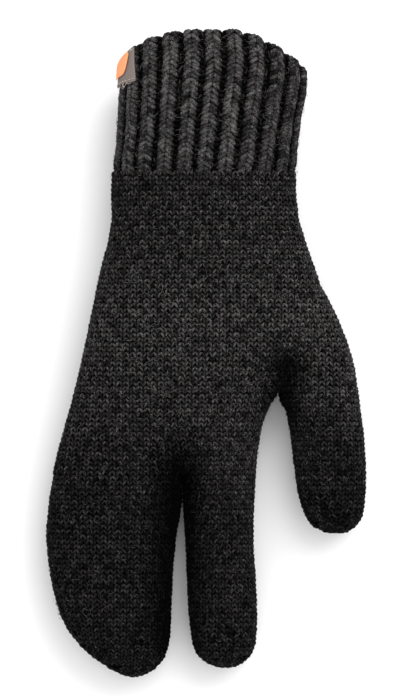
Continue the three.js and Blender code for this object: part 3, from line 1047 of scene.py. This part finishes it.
def purl_course(yarns, rings, rows, j, path):
    """Adds the level bars in the valleys between the ribs for one course"""
    count = len(rows[j][0])
    sway = rng.normal(0, 1, (2, count, 1))
    across = path[:, 0] + PURL_SWAY["across"] * sway[0]
    along = path[:, 1] + PURL_SWAY["along"] * sway[1]
    spot, normal = on_fabric(rings, rows, j, across, along)
    places = spot + normal * path[:, 2][:, None]
    radii = np.broadcast_to(PURL_YARN * PURL_SWELL, across.shape)
    yarns.add(places, normal, radii, 5)


# The label


def label_grid(name, rounding, foot=0):
    """Points on the outer face of a label's solid, in rows from its foot up, each from the thumb
    side, and their places on the flat cloth. rounding is the radius of its corners, and foot is
    the share of its height left out there"""
    points, triangles = welded(name)
    solid = BVHTree.FromPolygons(points.tolist(), triangles.tolist())
    turn, y = bearing(points[:, 0], points[:, 2]), points[:, 1]
    turned, raised = (turn - turn.min()) / np.ptp(turn), (y - y.min()) / np.ptp(y)

    def corner(side, level):
        k = (side * turned + level * raised).argmax()
        return np.array([turn[k], y[k]])

    corners = [[corner(side, level) for side in (-1, 1)] for level in (-1, 1)]
    corners[0] = [low * (1 - foot) + high * foot for low, high in zip(*corners)]
    radius = np.hypot(points[:, 0] - HUB[0], points[:, 2] - HUB[1]).mean()
    wide = (corners[0][1][0] - corners[0][0][0]) * radius
    tall = (sum(corners[1]) - sum(corners[0]))[1] / 2
    across = np.linspace(-wide / 2, wide / 2, round(wide / LABEL_STEP) + 1)
    up = np.linspace(-tall / 2, tall / 2, round(tall / LABEL_STEP) + 1)
    s, t = np.meshgrid(across, up)
    core = np.array([wide / 2 - rounding, tall / 2 - rounding])
    q = np.stack([np.abs(s) - core[0], np.abs(t) - core[1]], -1) / rounding
    outside = (q > 0).all(axis=-1)
    q[outside] *= (q[outside].max(axis=1) / np.linalg.norm(q[outside], axis=1))[:, None]
    s = np.where(outside, np.sign(s) * (core[0] + q[..., 0] * rounding), s)
    t = np.where(outside, np.sign(t) * (core[1] + q[..., 1] * rounding), t)
    a, b = (s / wide + 0.5)[..., None], (t / tall + 0.5)[..., None]
    low, high = (left * (1 - a) + right * a for left, right in corners)
    goals = low * (1 - b) + high * b
    grid = np.empty((*s.shape, 3))
    for place in np.ndindex(*s.shape):
        angle, height = goals[place]
        out = np.array([-math.sin(angle), 0, math.cos(angle)])
        start = np.array([HUB[0], height, HUB[1]]) + out * 2 * radius
        hit = solid.ray_cast(Vector(start), Vector(-out))[0]
        grid[place] = hit or solid.find_nearest(Vector(start - out * radius))[0]
    return smooth_grid(grid), np.stack([s, t], -1)


def smooth_grid(grid):
    grid = grid.copy()
    for _ in range(LABEL_SOFT):
        grid[1:-1] = (grid[:-2] + 2 * grid[1:-1] + grid[2:]) / 4
        grid[:, 1:-1] = (grid[:, :-2] + 2 * grid[:, 1:-1] + grid[:, 2:]) / 4
    return grid


def grid_normals(grid):
    normals = unit(np.cross(np.gradient(grid, axis=0), np.gradient(grid, axis=1)))
    away = grid[..., [0, 2]].mean(axis=(0, 1)) - np.array(HUB)
    return normals * np.sign((normals.mean(axis=(0, 1))[[0, 2]] * away).sum())


def slab(name, grid, places, material, node_name, thick, relief, edge):
    """A thin piece of cloth with a woven relief and borders that round off over edge"""
    rows, across, _ = grid.shape
    normals = grid_normals(grid)
    steps = [np.minimum(np.arange(n), np.arange(n)[::-1]) for n in (rows, across)]
    from_edge = np.minimum.outer(*steps) * LABEL_STEP
    fall = np.clip(1 - from_edge / edge, 0, 1) ** 2 * thick * 0.5
    lines = relief * np.sin(2 * math.pi * places[..., 1] / WEFT)
    outer = grid + normals * (lines * (from_edge > 0) - fall)[..., None]
    inner = grid - normals * (thick - fall * 0.4)[..., None]
    count = rows * across
    a = (np.arange(rows - 1)[:, None] * across + np.arange(across - 1)).ravel()
    face = np.stack([a, a + across, a + across + 1, a + 1], 1)
    turned = np.cross(grid[1, 0] - grid[0, 0], grid[0, 1] - grid[0, 0]) @ normals[0, 0] < 0
    order = -1 if turned else 1
    number = np.arange(count).reshape(rows, across)
    border = np.concatenate([number[:, 0], number[-1, 1:], number[-2::-1, -1], number[0, -2:0:-1]])
    after = np.roll(border, -1)
    side = np.stack([after, after + count, border + count, border], 1)
    quads = np.concatenate([face, face[:, ::-1] + count, side])[:, ::order]
    points = np.concatenate([outer.reshape(-1, 3), inner.reshape(-1, 3)])
    flat = np.concatenate([places.reshape(-1, 2)] * 2)[quads.ravel()]
    sizes = np.full(len(quads), 4)
    return piece(
        name, points, quads.ravel(), sizes, material, [node_name], {"weave": flat}
    )


def make_label(materials):
    tape, places = label_grid("label_tape", TAPE_ROUNDING)
    cloth = slab("label_tape_cloth", tape, places, materials["tape"], "label_tape", **TAPE)
    field, spots = label_grid("label_patch", PATCH_ROUNDING, PATCH_FOOT)
    slab("label_patch_cloth", field, spots, materials["patch"], "label_patch", **PATCH)

    # Running stitches along the two ends of the tape, and loose threads at its foot
    normals = grid_normals(tape)
    thread = Yarns()
    t = np.linspace(0, 1, len(ARCH))
    for row in (SEAM_ROW, len(tape) - 1 - SEAM_ROW):
        for k in range(SEAM_ROW, tape.shape[1] - SEAM_ROW - SEAM_LENGTH, SEAM_PITCH):
            spots = k + t * SEAM_LENGTH
            out = normals[row, spots.astype(int)]
            path = between(tape[row], spots) + out * ARCH[:, None]
            thread.add(path[None], out[None], np.full((1, len(t)), THREAD), 6)
    thread.make("label_tape_stitching", materials["thread"], "label_tape")

    curls = Yarns()
    t = np.linspace(0, 1, CURL_POINTS)
    for start, reach, bow, lean in CURLS:
        k = round(start * (tape.shape[1] - 1))
        out = normals[0, k]
        side = unit(tape[0, min(k + 4, tape.shape[1] - 1)] - tape[0, max(k - 4, 0)])
        drop = unit(tape[0, k] - tape[6, k])
        hang = np.sin(math.pi * t)
        path = tape[2, k] + side * (t * reach)[:, None] + drop * (bow * hang)[:, None]
        path = path + out * (CURL_LIFT + lean * hang)[:, None]
        radii = np.full((1, len(t)), LOOSE_THREAD)
        curls.add(path[None], np.tile(out, (len(t), 1))[None], radii, 5)
    curls.make("label_tape_loose_threads", materials["thread"], "label_tape")


def make_stage():
    sides = ((-1, -1), (1, -1), (1, 1), (-1, 1))
    corners = [(x * FLOOR_REACH, y * FLOOR_REACH, 0) for x, y in sides]
    mesh = bpy.data.meshes.new("floor")
    mesh.from_pydata(corners, [], [(0, 1, 2, 3)])
    colour = (FLOOR_GREY, FLOOR_GREY, FLOOR_GREY, 1)
    mesh.materials.append(shader("pale_floor", {"Base Color": colour, "Roughness": 0.95})[0])
    put("floor", mesh)


def make_light():
    world = bpy.data.worlds.new("studio")
    world.use_nodes = True
    settle(world.node_tree.nodes["Background"], {"Color": (1, 1, 1, 1), "Strength": WORLD_STRENGTH})
    bpy.context.scene.world = world
    data = bpy.data.lights.new("key", "AREA")
    data.size = LAMP_SIZE
    data.energy = LAMP_POWER
    light = put("key", data)
    light.location = LAMP_PLACE
    light.rotation_euler = (-Vector(LAMP_PLACE)).to_track_quat("-Z", "Y").to_euler()


make_camera()
materials = {
    "knit": wool("plain_wool", (0.0003, 0.0003, 0.0003), (0.080, 0.0765, 0.0760), 0.004),
    "rib": wool("rib_wool", (0.0004, 0.0004, 0.0004), (0.078, 0.0746, 0.0746), 0.004),
    # the bars in the valleys between the ribs: the rib yarn with its shade painted in as a much
    # darker colour
    "valley": wool("shaded_valley_wool", (0.0003, 0.0003, 0.0003), (0.007, 0.0067, 0.0066), 0.002),
    "fuzz": wool("loose_fibres", (0.01, 0.01, 0.01), (0.22, 0.213, 0.209), 0.02),
    "tape": woven("woven_tape", (0.150, 0.122, 0.110), 0.35),
    "patch": woven("orange_weave", (0.80, 0.262, 0.118), 0.12),
    "thread": wool("sewing_thread", (0.13, 0.11, 0.095), (0.80, 0.72, 0.65), 0.02),
    # near-black painted shade under the stitches
    "shade_ground": wool("shade_ground_wool", (0.0003, 0.0003, 0.0003), (0.001, 0.001, 0.001), 0, False),
}
make_plain(materials)
make_cuff(materials)
make_label(materials)
make_stage()
make_light()
bpy.context.scene.view_settings.view_transform = "Standard"
